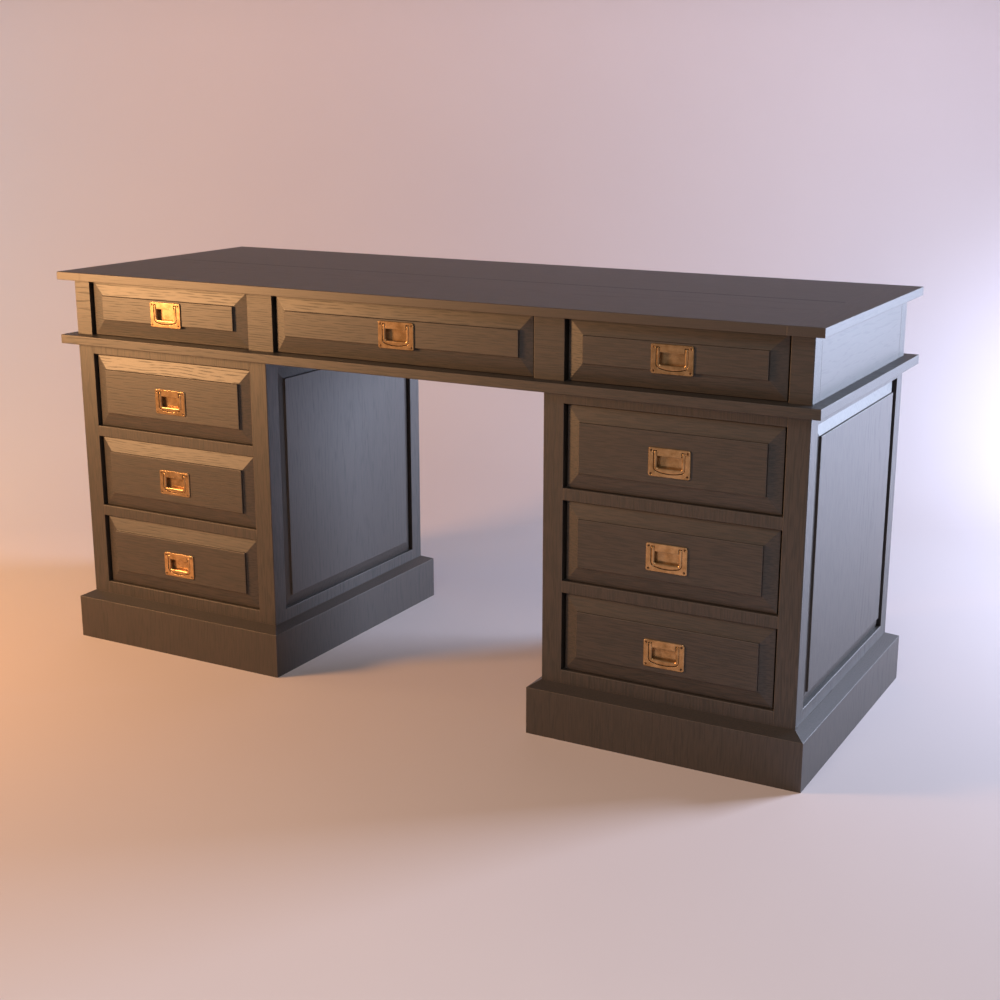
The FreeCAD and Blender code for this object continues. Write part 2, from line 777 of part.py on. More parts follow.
def bowed_outline(body, name, half, top, drop, setback):
    """Draws an outline with upright sides, a level top and an underside that is an arc."""
    sketch = new_sketch(body, name, "XZ_Plane", setback)
    side, height, radius = number(half), number(top), sizes["bow_radius"]
    centre = FreeCAD.Vector(0, radius - number(drop), 0)
    swing = math.asin(side / radius)
    ring = Part.Circle(centre, FreeCAD.Vector(0, 0, 1), radius)
    arc = Part.ArcOfCircle(ring, -math.pi / 2 - swing, -math.pi / 2 + swing)
    left, right = FreeCAD.Vector(-side, height, 0), FreeCAD.Vector(side, height, 0)
    pieces = [Part.LineSegment(left, arc.StartPoint), arc,
              Part.LineSegment(arc.EndPoint, right), Part.LineSegment(right, left)]
    for piece in pieces:
        sketch.addGeometry(piece)
    for curve in range(len(pieces)):
        follower = (curve + 1) % len(pieces)
        sketch.addConstraint(Sketcher.Constraint("Coincident", curve, 2, follower, 1))
    sketch.addConstraint(Sketcher.Constraint("Vertical", 0))
    sketch.addConstraint(Sketcher.Constraint("Vertical", 2))
    fix_point(sketch, 0, 1, ("-" + half, top))
    fix_point(sketch, 2, 2, (half, top))
    fix_point(sketch, 1, 3, ("0", f"bow_radius - {drop}"))
    index = sketch.addConstraint(Sketcher.Constraint("Radius", 1, radius))
    bind(sketch, f"Constraints[{index}]", "bow_radius")
    return sketch


def round_edges(body, name, radius, test):
    """Rounds the edges of a body that pass a test."""
    doc.recompute()
    base = body.Tip
    feature = body.newObject("PartDesign::Fillet", body.Name + "_" + name)
    feature.Base = (base, edges_where(base, test))
    bind(feature, "Radius", radius)


def lower_corner(half):
    """Picks out the two edges where upright sides meet the bowed underside."""
    return lambda p: near(abs(p.x), number(half)) and p.z < 0 and not near(p.z, 0)


plate = new_body("pull_plate")
plate_low = ("-plate_width / 2", "-plate_height / 2")
plate_high = ("plate_width / 2", "plate_height / 2")
sheet_outline = rectangle(plate, "sheet_outline", "XZ_Plane", plate_low, plate_high)
pad(plate, "sheet", sheet_outline, "plate_thickness")
round_edges(plate, "corners", "plate_corner",
            lambda p: near(abs(p.x), sizes["plate_width"] / 2) and near(abs(p.z), sizes["plate_height"] / 2))
soften(plate, lambda p: near(p.y, -sizes["plate_thickness"]))
block(plate, "pan", ("-pan_width / 2", "0", "-pan_height / 2"),
      ("pan_width / 2", "pan_body", "pan_height / 2"), "Additive")
recess = bowed_outline(plate, "recess_outline", "recess_half", "recess_top", "recess_drop", "plate_thickness")
pocket(plate, "recess", recess, "pan_depth")
round_edges(plate, "recess_corners", "bail_corner + bail_room", lower_corner("recess_half"))
block(plate, "bridge", ("-bail_inner / 2 + bail_room", "-plate_thickness", "recess_top - bridge_drop"),
      ("bail_inner / 2 - bail_room", "pan_depth - plate_thickness", "recess_top"), "Additive")
pan_bottom = sizes["pan_depth"] - sizes["plate_thickness"]
round_edges(plate, "pan_bottom", "pan_round",
            lambda p: near(p.y, pan_bottom) and (p.z < 0 or near(abs(p.x), number("recess_half"))))
pin_centre = [("pivot_depth", "pivot_rise")]
for name, side, backwards in (("right_pin", "", False), ("left_pin", "-", True)):
    holes(plate, name, "YZ_Plane", pin_centre, "pin_radius + running_fit", "pin_reach + pin_end_room",
          f"{side}(bail_half + pin_reach + pin_end_room)", backwards)
screw_places = [
    (f"{across}screw_across / 2", f"{up}screw_apart / 2")
    for across in ("", "-")
    for up in ("", "-")
]
holes(plate, "screw_holes", "XZ_Plane", screw_places, "screw_shank_radius + running_fit",
      "plate_thickness", "plate_thickness")
for index, (across, up) in enumerate(screw_places):
    sink = plate.newObject("PartDesign::SubtractiveCone", f"countersink_{index}")
    bind(sink, "Radius1", "screw_head_radius + running_fit")
    bind(sink, "Radius2", "screw_shank_radius + running_fit")
    bind(sink, "Height", "screw_head_depth")
    place(sink, (across, "-plate_thickness", up))
    sink.Placement.Rotation = FreeCAD.Rotation(FreeCAD.Vector(0, 0, 1), FreeCAD.Vector(0, 1, 0))

bail = new_body("pull_bail")
blank = bowed_outline(bail, "blank_outline", "bail_half", "arm_tip", "bail_drop", "plate_thickness")
pad(bail, "blank", blank, "bail_thickness", True)
block(bail, "window", ("-bail_inner / 2", "-plate_thickness - overrun", "-bar_top_drop"),
      ("bail_inner / 2", "bail_thickness", "arm_tip + overrun"))
round_edges(bail, "outer_corners", "bail_corner", lower_corner("bail_half"))
round_edges(bail, "inner_corners", "bail_inner_corner",
            lambda p: near(abs(p.x) * 2, number("bail_inner")) and near(p.z, -sizes["bar_top_drop"]))
round_edges(bail, "tips", "bail_tip",
            lambda p: near(p.z, number("arm_tip")) and (near(abs(p.x), number("bail_half"))
                                                        or near(abs(p.x) * 2, number("bail_inner"))))
bail_front = -sizes["plate_thickness"]
bail_back = bail_front + sizes["bail_thickness"]
round_edges(bail, "edges", "bail_edge", lambda p: near(p.y, bail_front) or near(p.y, bail_back))
for name, side, backwards in (("right_pin", "", False), ("left_pin", "-", True)):
    sketch = new_sketch(bail, name + "_outline", "YZ_Plane", f"{side}(bail_half - bail_arm / 2)")
    circle(sketch, 0, pin_centre[0], "pin_radius")
    pad(bail, name, sketch, "bail_arm / 2 + pin_reach", backwards)

screw = new_body("pull_screw")
screw_profile = outline(screw, "profile", "XY_Plane", [
    ("0", "0"),
    ("screw_head_radius", "0"),
    ("screw_shank_radius", "screw_head_depth"),
    ("screw_shank_radius", "screw_length"),
    ("0", "screw_length"),
])
turned = screw.newObject("PartDesign::Revolution", "turned_screw")
turned.Profile = screw_profile
turned.ReferenceAxis = (screw_profile, ["V_Axis"])
turned.Angle = 360
block(screw, "slot", ("-screw_head_radius - overrun", "-overrun", "-slot_width / 2"),
      ("screw_head_radius + overrun", "slot_depth", "slot_width / 2"))
screws = [
    group(f"pull_screw_{index}", [screw], (across, "-plate_thickness", up))
    for index, (across, up) in enumerate(screw_places)
]


# One front, box, pull plate and bail for each drawer

frieze_fit = ("frieze_low_margin", "frieze_top_margin", "frieze_pull_drop")
pedestal_margins = ["pedestal_margin"] * 3
kinds = {
    "frieze_side": drawer("frieze_side", "frieze_opening", "frieze_height",
                          "frieze_side_margin", *frieze_fit),
    "frieze_centre": drawer("frieze_centre", "centre_opening", "frieze_height",
                            "frieze_centre_margin", *frieze_fit),
}
for name in ("upper", "middle", "lower"):
    kinds[name] = drawer(name, "drawer_opening", name + "_opening", *pedestal_margins, name + "_pull_drop")

drawers = {
    "left_frieze": ("frieze_side", "-" + half_back, "frieze_level"),
    "centre_frieze": ("frieze_centre", "-centre_opening / 2", "frieze_level"),
    "right_frieze": ("frieze_side", stile_right, "frieze_level"),
}
for name in ("upper", "middle", "lower"):
    drawers[f"left_pedestal_{name}"] = (name, "-(drawer_left + drawer_opening)", name + "_level")
    drawers[f"right_pedestal_{name}"] = (name, "drawer_left", name + "_level")
for name, (kind, left, level) in drawers.items():
    front, box, middle = kinds[kind]
    corner = (left, "drawer_face", level)
    centre = (f"{left} + {middle[0]}", "drawer_face", f"{level} + {middle[1]}")
    node(name + "_drawer_front", [front], corner)
    node(name + "_drawer_box", box, corner)
    node(name + "_pull_plate", [plate] + screws, centre)
    node(name + "_bail", [bail], centre)


# Check every item, then write one file for each node

doc.recompute()
for item in doc.Objects:
    if "Invalid" in item.State or "Error" in item.State:
        raise RuntimeError(f"{item.Name} did not build: {item.State}")
os.makedirs("parts", exist_ok=True)
for piece in nodes:
    shape = piece.Shape
    if shape.isNull() or not shape.isValid() or not shape.Solids:
        raise RuntimeError(f"{piece.Label} has no valid solid")
    shape.exportStep(f"parts/{piece.Label}.step")
    print(piece.Label, len(shape.Solids), "solids")
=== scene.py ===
# %% [markdown]
# # A pedestal desk in dark stained oak
# A pedestal desk is a case of wide, shallow drawers on top of two narrow stacks of drawers. The boards, the
# drawers and the flush pulls come in as solids that already have their true places. What is left is how
# they look: the open grain under a dark stain, the antique brass, and the light of a small studio.

# %% Load the desk
import math

import bmesh
import bpy
import numpy as np
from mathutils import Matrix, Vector


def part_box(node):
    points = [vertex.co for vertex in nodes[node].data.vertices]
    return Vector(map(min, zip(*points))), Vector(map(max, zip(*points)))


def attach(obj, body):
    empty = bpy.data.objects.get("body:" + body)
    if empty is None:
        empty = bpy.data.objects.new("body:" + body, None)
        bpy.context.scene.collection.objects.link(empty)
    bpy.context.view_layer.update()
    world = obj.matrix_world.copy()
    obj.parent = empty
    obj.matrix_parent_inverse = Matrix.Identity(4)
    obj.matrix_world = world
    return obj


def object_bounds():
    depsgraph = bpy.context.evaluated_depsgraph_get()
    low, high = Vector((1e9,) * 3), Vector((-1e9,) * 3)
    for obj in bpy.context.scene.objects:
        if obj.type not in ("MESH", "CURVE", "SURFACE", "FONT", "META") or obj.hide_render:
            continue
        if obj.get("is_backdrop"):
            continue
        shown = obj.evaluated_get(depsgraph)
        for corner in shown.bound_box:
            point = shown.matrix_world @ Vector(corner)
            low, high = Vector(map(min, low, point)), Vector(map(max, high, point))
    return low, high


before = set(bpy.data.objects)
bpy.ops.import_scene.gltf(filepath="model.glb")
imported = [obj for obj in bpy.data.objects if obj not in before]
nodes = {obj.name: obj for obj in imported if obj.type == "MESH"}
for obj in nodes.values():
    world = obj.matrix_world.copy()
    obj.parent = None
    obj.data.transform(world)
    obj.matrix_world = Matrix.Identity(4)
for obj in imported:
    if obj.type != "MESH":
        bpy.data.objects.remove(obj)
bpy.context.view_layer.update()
mm = 0.001
print("pieces of the desk:", len(nodes))

# %% [markdown]
# ## Colours and shader nodes
# A colour is easiest to judge as the hex code that a picture shows, but a shader wants light, which runs on
# a curve of its own. One function makes that change. A second one adds a shader node, so that each finish
# below reads as a short list of what feeds what.

# %% Colours and shader nodes
def linear(code):
    """Turns an sRGB hex colour into the linear red, green, blue and alpha that a socket takes."""
    shares = np.array([int(code[i:i + 2], 16) for i in (1, 3, 5)]) / 255
    curved = ((shares + 0.055) / 1.055) ** 2.4
    return (*np.where(shares > 0.04045, curved, shares / 12.92).tolist(), 1.0)


def add(tree, kind, sockets, **settings):
    """Adds one shader node, sets its own settings, and fills its sockets by value or by link."""
    node = tree.nodes.new("ShaderNode" + kind)
    for name, value in settings.items():
        setattr(node, name, value)
    for name, value in sockets.items():
        if isinstance(value, bpy.types.NodeSocket):
            tree.links.new(value, node.inputs[name])
        else:
            node.inputs[name].default_value = value
    return node


print("mid grey as light:", [round(share, 3) for share in linear("#808080")])

# %% [markdown]
# ## Worn edges and painted highlights
# Hands and dusters rub the finish thin on the edges of wood and brass alike. On the oak the paler edge also
# stands for a painted highlight along each arris. Modelling that wear would take a very fine mesh. A shader
# can find the edges by itself: it asks for the normal of a slightly rounded piece, and where that turns away
# from the normal of the flat face, there is an edge.

# %% Worn edges and painted highlights
bevel_samples = 6
face_agree = 0.99


def edges_worn_and_highlit(tree, radius, edge_agree, most):
    """Gives the rounded normal, and a share of wear and painted highlight that grows as it leaves the flat
    normal.

    The agreement is the dot product of both normals: no wear at face_agree, the most wear at edge_agree.
    """
    soft = add(tree, "Bevel", {"Radius": radius}, samples=bevel_samples).outputs[0]
    flat = add(tree, "NewGeometry", {}).outputs["Normal"]
    agree = add(tree, "VectorMath", {0: soft, 1: flat}, operation="DOT_PRODUCT").outputs["Value"]
    wear_and_highlight = add(tree, "MapRange", {
        "Value": agree, "From Min": face_agree, "From Max": edge_agree, "To Max": most,
    }).outputs[0]
    return soft, wear_and_highlight


print("wear starts where the normals part by", round(math.degrees(math.acos(face_agree)), 1), "degrees")

# %% [markdown]
# ## Oak grain
# Oak has wide pores, and a thin lacquer leaves them open. On a stained board they read as short dark dashes
# along the grain, deepest in the early wood of each year's ring. A picture of a plank would fit only one
# board, so the pattern is worked out in space: rings around the heart of the log that the board was sawn
# from, and dashes as noise that is stretched along the grain and gently bent.

# %% Oak grain
ring_width = 3.8 * mm
# The wave pattern turns by this many radians over one metre at a scale of one.
wave_rate = 20
ring_scale = math.tau / wave_rate / ring_width
early_wood = 0.58
# Real pores are about 0.3 mm wide; they are drawn some eight times coarser so that a picture can show them.
dash_width = 2.3 * mm
dash_stretch = 16
dash_low, dash_high = 0.42, 0.60
bend_width = 60 * mm
bend_stretch = 4
bend_reach = 15 * mm


def along_grain(axis, stretch):
    """Gives the scale that stretches a pattern along one axis."""
    return [1 / stretch if name == axis else 1 for name in "XYZ"]


def oak_grain(tree, point, axis, heart, open_share):
    """Gives dashes along one axis, and pores, which are the dashes in the early wood of a ring.

    Slow noise bends the point first. The rings are a wave of the bent point's distance from the heart of the
    log, and the dashes are noise at the bent point, stretched along the axis and as deep as the open share.
    """
    slow = add(tree, "Mapping", {"Vector": point, "Scale": along_grain(axis, bend_stretch)}).outputs[0]
    sway = add(tree, "TexNoise", {"Vector": slow, "Scale": 1 / bend_width, "Detail": 2.0}).outputs["Color"]
    bent = add(tree, "VectorMath", {
        0: sway, 1: [bend_reach] * 3, 2: point,
    }, operation="MULTIPLY_ADD").outputs[0]
    log = add(tree, "VectorMath", {0: bent, 1: heart}, operation="SUBTRACT").outputs[0]
    rings = add(tree, "TexWave", {
        "Vector": log, "Scale": ring_scale, "Distortion": 0.0,
    }, wave_type="RINGS", rings_direction=axis).outputs["Fac"]
    early = add(tree, "MapRange", {"Value": rings, "From Min": early_wood, "From Max": 1.0}).outputs[0]
    fibre = add(tree, "Mapping", {"Vector": bent, "Scale": along_grain(axis, dash_stretch)}).outputs[0]
    lines = add(tree, "TexNoise", {"Vector": fibre, "Scale": 1 / dash_width, "Detail": 1.0}).outputs["Fac"]
    dashes = add(tree, "MapRange", {
        "Value": lines, "From Min": dash_low, "From Max": dash_high, "To Max": open_share,
    }).outputs[0]
    pores = add(tree, "Math", {0: early, 1: dashes}, operation="MULTIPLY").outputs[0]
    return dashes, pores


dash_length = dash_width * dash_stretch
print("rings every", round(ring_width / mm, 1), "mm, dashes about", round(dash_length / mm), "mm long")

# %% [markdown]
# ## Dark stained oak
# The boards are oak, planed, stained nearly black and lacquered to a satin sheen. The stain is darkest in the
# pores and thin on the arrises, where the paler colour is also a painted highlight, and the lacquer is dry
# where it sinks into a pore. The long joint of the top holds dark polish. One function makes this finish, so
# that every board can have a grain of its own.

# %% Dark stained oak
pore_depth, pore_strength = 0.3 * mm, 0.28
satin_roughness, pore_roughness = 0.50, 0.12
lacquer_level = 0.9
# The arris share is partly wear and partly a painted highlight.
arris_round, arris_agree, arris_rub_and_highlight = 1.4 * mm, 0.85, 0.65
joint_width = 9 * mm
oak_deep, oak_pale, oak_pore = "#28231E", "#392F28", "#221D19"
# The worn colour is partly rubbed stain and partly a painted highlight on the arrises.
oak_worn_highlit, oak_joint = "#6E5B4A", "#0C0A09"


def new_finish(name):
    """Starts a material and hands back it, its tree and its surface shader."""
    finish = bpy.data.materials.new(name)
    finish.use_nodes = True
    return finish, finish.node_tree, finish.node_tree.nodes["Principled BSDF"]


def stained_oak(name, axis, heart, open_share, joint):
    """Dark stained oak under a satin lacquer: dark dashes along one axis, pale arrises of wear and painted
    highlight, and a soft sheen.

    The joint is the depth of a seam where dark polish gathers, or None.
    """
    finish, tree, shader = new_finish(name)
    point = add(tree, "TexCoord", {}).outputs["Object"]
    dashes, pores = oak_grain(tree, point, axis, heart, open_share)
    wood = add(tree, "MixRGB", {
        "Fac": dashes, "Color1": linear(oak_pale), "Color2": linear(oak_deep),
    }).outputs[0]
    pored = add(tree, "MixRGB", {"Fac": pores, "Color1": wood, "Color2": linear(oak_pore)}).outputs[0]
    # Paler arrises: rubbed stain, and a painted highlight along each edge.
    soft, wear_and_highlight = edges_worn_and_highlit(tree, arris_round, arris_agree, arris_rub_and_highlight)
    colour = add(tree, "MixRGB", {"Fac": wear_and_highlight, "Color1": pored, "Color2": linear(oak_worn_highlit)}).outputs[0]
    if joint is not None:
        # The polish is darkest in the joint and fades away on both sides of it.
        depth = add(tree, "SeparateXYZ", {0: point}).outputs["Y"]
        offset = add(tree, "Math", {0: depth, 1: joint}, operation="SUBTRACT").outputs[0]
        distance = add(tree, "Math", {0: offset}, operation="ABSOLUTE").outputs[0]
        polish = add(tree, "MapRange", {
            "Value": distance, "From Min": joint_width, "From Max": 0.0,
        }).outputs[0]
        colour = add(tree, "MixRGB", {
            "Fac": polish, "Color1": colour, "Color2": linear(oak_joint),
        }).outputs[0]
    gloss = add(tree, "Math", {
        0: pores, 1: pore_roughness, 2: satin_roughness,
    }, operation="MULTIPLY_ADD").outputs[0]
    dents = add(tree, "Bump", {
        "Strength": pore_strength, "Distance": pore_depth, "Height": pores, "Normal": soft,
    }, invert=True).outputs[0]
    tree.links.new(colour, shader.inputs["Base Color"])
    tree.links.new(gloss, shader.inputs["Roughness"])
    tree.links.new(dents, shader.inputs["Normal"])
    shader.inputs["Specular IOR Level"].default_value = lacquer_level
    return finish


print("oak stain from", oak_pale, "to", oak_deep, "and worn to", oak_worn_highlit)

# %% [markdown]
# ## Which way the grain runs
# A joiner lays the grain along the length of a board. On this desk the drawer fronts, the desktop and the
# frieze run across, the end boards and frieze ends run deep, and the pedestals stand with upright grain. The
# desktop and the frieze ends show hardly any pores, as wood does that is filled before it is lacquered, and
# the plinths and panels look filled in part. Each board gets its own log, with the heart away from the middle
# of the board, so that no two drawers repeat.

# %% Grain of the oak pieces
deep_grain = ["desktop_end_boards", "frieze_end_panels"]
across_grain = ["desktop_front_board", "desktop_rear_board", "frieze_posts", "frieze_back", "frieze_stiles",
                "waist_board"]
upright_parts = ["posts", "frame_rails", "side_panels", "back_panel", "plinth"]
upright_grain = [f"{side}_pedestal_{part}" for side in ("left", "right") for part in upright_parts]
drawer_fronts = sorted(name for name in nodes if name.endswith("_drawer_front"))
grain = {name: "Y" for name in deep_grain}
grain.update({name: "X" for name in across_grain + drawer_fronts})
grain.update({name: "Z" for name in upright_grain})


def dress(name, finish):
    """Gives one solid of the desk its finish."""
    nodes[name].data.materials.clear()
    nodes[name].data.materials.append(finish)


open_shares = {"desktop": 0.3, "frieze_end": 0.3, "plinth": 0.55, "side_panels": 0.55, "back_panel": 0.55}
jointed = ("desktop_front_board", "desktop_rear_board")
top_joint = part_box("desktop_front_board")[1].y
heart_depth, heart_drift, heart_turn = 260 * mm, 60 * mm, 2.4
heart_way = Vector((-0.7, 0.5, -0.7))
for count, (name, axis) in enumerate(sorted(grain.items())):
    low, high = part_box(name)
    drift = heart_drift * math.sin(heart_turn * count)
    heart = (low + high) / 2 + heart_depth * heart_way + Vector((drift, drift, drift))
    open_share = next((share for part, share in open_shares.items() if part in name), 1.0)
    joint = top_joint if name in jointed else None
    dress(name, stained_oak(name.replace("_", " ") + " oak", axis, heart, open_share, joint))
print("oak pieces:", len(grain))

# %% [markdown]
# ## Plain drawer wood
# The parts that nobody sees are planed from a pale, cheap wood and left without stain: the drawer boxes, the
# runners and the partitions. Planing leaves a dry, even surface with soft bands and hardly any shine, so
# noise that is stretched along the grain is enough here.

# %% Plain drawer wood
band_width = 7 * mm
band_stretch = 18
band_low, band_high = 0.35, 0.65
plane_depth, plane_strength = 0.2 * mm, 0.2
planed_roughness = 0.62
planed_pale, planed_deep = "#B9966A", "#9C7A51"


def planed_wood(name, axis):
    """Pale wood straight from the plane: soft bands along one axis, dry and nearly without gloss."""
    finish, tree, shader = new_finish(name)
    point = add(tree, "TexCoord", {}).outputs["Object"]
    fibre = add(tree, "Mapping", {"Vector": point, "Scale": along_grain(axis, band_stretch)}).outputs[0]
    bands = add(tree, "TexNoise", {"Vector": fibre, "Scale": 1 / band_width, "Detail": 4.0}).outputs["Fac"]
    streak = add(tree, "MapRange", {"Value": bands, "From Min": band_low, "From Max": band_high}).outputs[0]
    colour = add(tree, "MixRGB", {
        "Fac": streak, "Color1": linear(planed_pale), "Color2": linear(planed_deep),
    }).outputs[0]
    dents = add(tree, "Bump", {
        "Strength": plane_strength, "Distance": plane_depth, "Height": bands,
    }).outputs[0]
    tree.links.new(colour, shader.inputs["Base Color"])
    tree.links.new(dents, shader.inputs["Normal"])
    shader.inputs["Roughness"].default_value = planed_roughness
    return finish


drawer_wood = planed_wood("planed drawer wood", "Y")
dowel_wood = planed_wood("turned dowel wood", "Z")
brass_parts = ("_pull_plate", "_bail")
plain_nodes = [name for name in nodes if name not in grain and not name.endswith(brass_parts)]
for name in plain_nodes:
    dress(name, dowel_wood if "dowel" in name else drawer_wood)
print("plain wood pieces:", len(plain_nodes))

# %% [markdown]
# ## Antique brass
# The pulls are cast brass, brushed and then darkened by a bath that turns the metal brown. Rubbing brings
# the gold back where fingers touch, and old polish stays in the corners of the pan. So the colour moves
# between two browns in soft clouds, the edges are bright, the corners are dark with that polish and with
# painted shade, and the grain of the casting breaks the shine.

# %% Antique brass
cloud_width = 14 * mm
cloud_low, cloud_high = 0.35, 0.68
# The skin of a casting is grained at about 0.3 mm; it is drawn four times coarser so that it can show.
grit_width = 1.2 * mm
grit_depth, grit_strength = 0.1 * mm, 0.12
rub_round, rub_agree, rub_wear = 0.6 * mm, 0.8, 0.7
# Hidden corners darken: old polish, and painted shade in the pan and around the bail.
corner_reach, corner_samples = 4 * mm, 8
corner_open, corner_shut, corner_polish_and_shade = 0.6, 0.25, 0.75
brass_smooth, brass_rough = 0.20, 0.30
# The bath leaves a thin brown skin on the metal, which scatters a part of the light as paint does.
toned_metal = 0.7
brass_gold, brass_brown, brass_rubbed, brass_polish_and_shade = "#CBA577", "#A37F53", "#E8CBA4", "#3A2410"


def antique_brass(name):
    """Toned cast brass: brown clouds over gold, rubbed edges, corners dark with polish and painted shade, and
    a broad satin sheen.
    """
    finish, tree, shader = new_finish(name)
    point = add(tree, "TexCoord", {}).outputs["Object"]
    cloud = add(tree, "TexNoise", {"Vector": point, "Scale": 1 / cloud_width, "Detail": 4.0}).outputs["Fac"]
    toned = add(tree, "MapRange", {"Value": cloud, "From Min": cloud_low, "From Max": cloud_high}).outputs[0]
    body = add(tree, "MixRGB", {
        "Fac": toned, "Color1": linear(brass_gold), "Color2": linear(brass_brown),
    }).outputs[0]
    soft, rubbed = edges_worn_and_highlit(tree, rub_round, rub_agree, rub_wear)
    bright = add(tree, "MixRGB", {"Fac": rubbed, "Color1": body, "Color2": linear(brass_rubbed)}).outputs[0]
    # The corners darken as far as they are hidden: old polish and painted shade.
    openness = add(tree, "AmbientOcclusion", {
        "Distance": corner_reach,
    }, samples=corner_samples).outputs["AO"]
    polish_and_shade = add(tree, "MapRange", {
        "Value": openness, "From Min": corner_open, "From Max": corner_shut, "To Max": corner_polish_and_shade,
    }).outputs[0]
    colour = add(tree, "MixRGB", {"Fac": polish_and_shade, "Color1": bright, "Color2": linear(brass_polish_and_shade)}).outputs[0]
    grit = add(tree, "TexNoise", {"Vector": point, "Scale": 1 / grit_width, "Detail": 2.0}).outputs["Fac"]
    gloss = add(tree, "MapRange", {"Value": grit, "To Min": brass_smooth, "To Max": brass_rough}).outputs[0]
    dents = add(tree, "Bump", {
        "Strength": grit_strength, "Distance": grit_depth, "Height": grit, "Normal": soft,
    }).outputs[0]
    tree.links.new(colour, shader.inputs["Base Color"])
    tree.links.new(gloss, shader.inputs["Roughness"])
    tree.links.new(dents, shader.inputs["Normal"])
    shader.inputs["Metallic"].default_value = toned_metal
    return finish


brass = antique_brass("antique brass")
brass_nodes = [name for name in nodes if name.endswith(brass_parts)]
for name in brass_nodes:
    dress(name, brass)
print("brass pieces:", len(brass_nodes))

# %% [markdown]
# ## Surfaces from grids
# A mesh can be made by hand, but a formula that gives whole grids of points is shorter and easy to change.
# One function turns such grids into a mesh: each four neighbours become a face. Where a shape closes on
# itself, the doubled points along its seam and at its poles are merged, and all faces are turned outwards.

# %% Surfaces from grids
merge_distance = 0.002 * mm


def surface(name, points, closed=False):
    """Makes a smooth mesh from grids of points: one quad between each four, with seams joined if closed."""
    points = points.reshape(-1, *points.shape[-3:])
    grids, rows, columns = points.shape[:3]
    index = np.arange(grids * rows * columns).reshape(grids, rows, columns)
    corners = [index[:, :-1, :-1], index[:, :-1, 1:], index[:, 1:, 1:], index[:, 1:, :-1]]
    faces = np.stack(corners, axis=-1).reshape(-1, 4)
    mesh = bpy.data.meshes.new(name)
    mesh.from_pydata(points.reshape(-1, 3).tolist(), [], faces.tolist())
    if closed:
        solid = bmesh.new()
        solid.from_mesh(mesh)
        bmesh.ops.remove_doubles(solid, verts=solid.verts, dist=merge_distance)
        bmesh.ops.recalc_face_normals(solid, faces=solid.faces)
        solid.to_mesh(mesh)
        solid.free()
    mesh.shade_smooth()
    piece = bpy.data.objects.new(name, mesh)
    bpy.context.scene.collection.objects.link(piece)
    return piece


print("points of a closed shape are merged within", round(merge_distance / mm, 3), "mm")

# %% [markdown]
# ## Screw heads
# Slotted screws hold the pulls. Their heads are low domes that catch a point of light. A head is a surface of
# revolution: the outline of half a section is carried around the axis of the screw. The slot is pressed into
# the dome afterwards, as a dip along one direction.

# %% Shape of the screw heads
dome_rows, dome_columns = 24, 49
slot_side_share = 0.3
slot_floor_share = 0.9


def screw_heads(centres, slant, radius, rise, slot_half, slot_depth):
    """Low domes about centres on an upright face, as one grid of points for each.

    Along the half section the distance from the axis grows from zero to the radius while the height falls
    from the rise to zero as a parabola, then the rim goes a little under the face and back to the axis.
    Round the axis that section turns once. A point nearer to the slot's line than half the slot sinks by the
    slot depth, with a slope at the sides, but never through the foot of the dome.
    """
    share = np.linspace(0, 1, dome_rows)
    out = np.concatenate([share, [1.0, 0.0]]) * radius
    height = np.concatenate([rise * (1 - share ** 2), [-rise, -rise]])
    turn = np.linspace(0, math.tau, dome_columns)
    across, up = out[:, None] * np.cos(turn), out[:, None] * np.sin(turn)
    from_slot = np.abs(across * np.sin(slant)[:, None, None] - up * np.cos(slant)[:, None, None])
    top = (height > -rise)[:, None]
    sunk = np.clip((slot_half - from_slot) / (slot_side_share * slot_half), 0, 1) * slot_depth * top
    proud = height[:, None] - np.minimum(sunk, height[:, None] + slot_floor_share * rise)
    shifts = np.stack(np.broadcast_arrays(across, -proud, up), axis=-1)
    return centres[:, None, None, :] + shifts


print("points in one screw head:", (dome_rows + 2) * dome_columns)

# %% [markdown]
# ## Toned screw brass
# The screws are turned from brass and were toned with the plates, but no finger rubs them. Polish and dust
# stay in the fine pits of the metal, so the heads look nearly black with a dull shine. Noise as wide as a pit
# gives both the dark spots and the dents.

# %% Toned screw brass
pit_width = 0.9 * mm
pit_low, pit_high = 0.38, 0.62
pit_depth, pit_strength = 0.1 * mm, 0.3
screw_roughness = 0.45
screw_brown, screw_black = "#6B4E30", "#2E2014"


def toned_screw(name):
    """Old brass screw: nearly black with polish and dust in its pits, and only a dull shine."""
    finish, tree, shader = new_finish(name)
    point = add(tree, "TexCoord", {}).outputs["Object"]
    pits = add(tree, "TexNoise", {"Vector": point, "Scale": 1 / pit_width, "Detail": 3.0}).outputs["Fac"]
    dark = add(tree, "MapRange", {"Value": pits, "From Min": pit_low, "From Max": pit_high}).outputs[0]
    colour = add(tree, "MixRGB", {
        "Fac": dark, "Color1": linear(screw_brown), "Color2": linear(screw_black),
    }).outputs[0]
    dents = add(tree, "Bump", {
        "Strength": pit_strength, "Distance": pit_depth, "Height": pits,
    }).outputs[0]
    tree.links.new(colour, shader.inputs["Base Color"])
    tree.links.new(dents, shader.inputs["Normal"])
    shader.inputs["Metallic"].default_value = toned_metal
    shader.inputs["Roughness"].default_value = screw_roughness
    return finish


screw_brass = toned_screw("toned screw brass")
print("screw colours:", screw_brown, screw_black)

# %% [markdown]
# ## Screws on every plate
# Four screws hold each plate, one near each corner, and they move with the drawer that the plate is fixed to.
# Their places come from the box of the plate. A screw stops turning where it is tight, so each slot points
# another way.

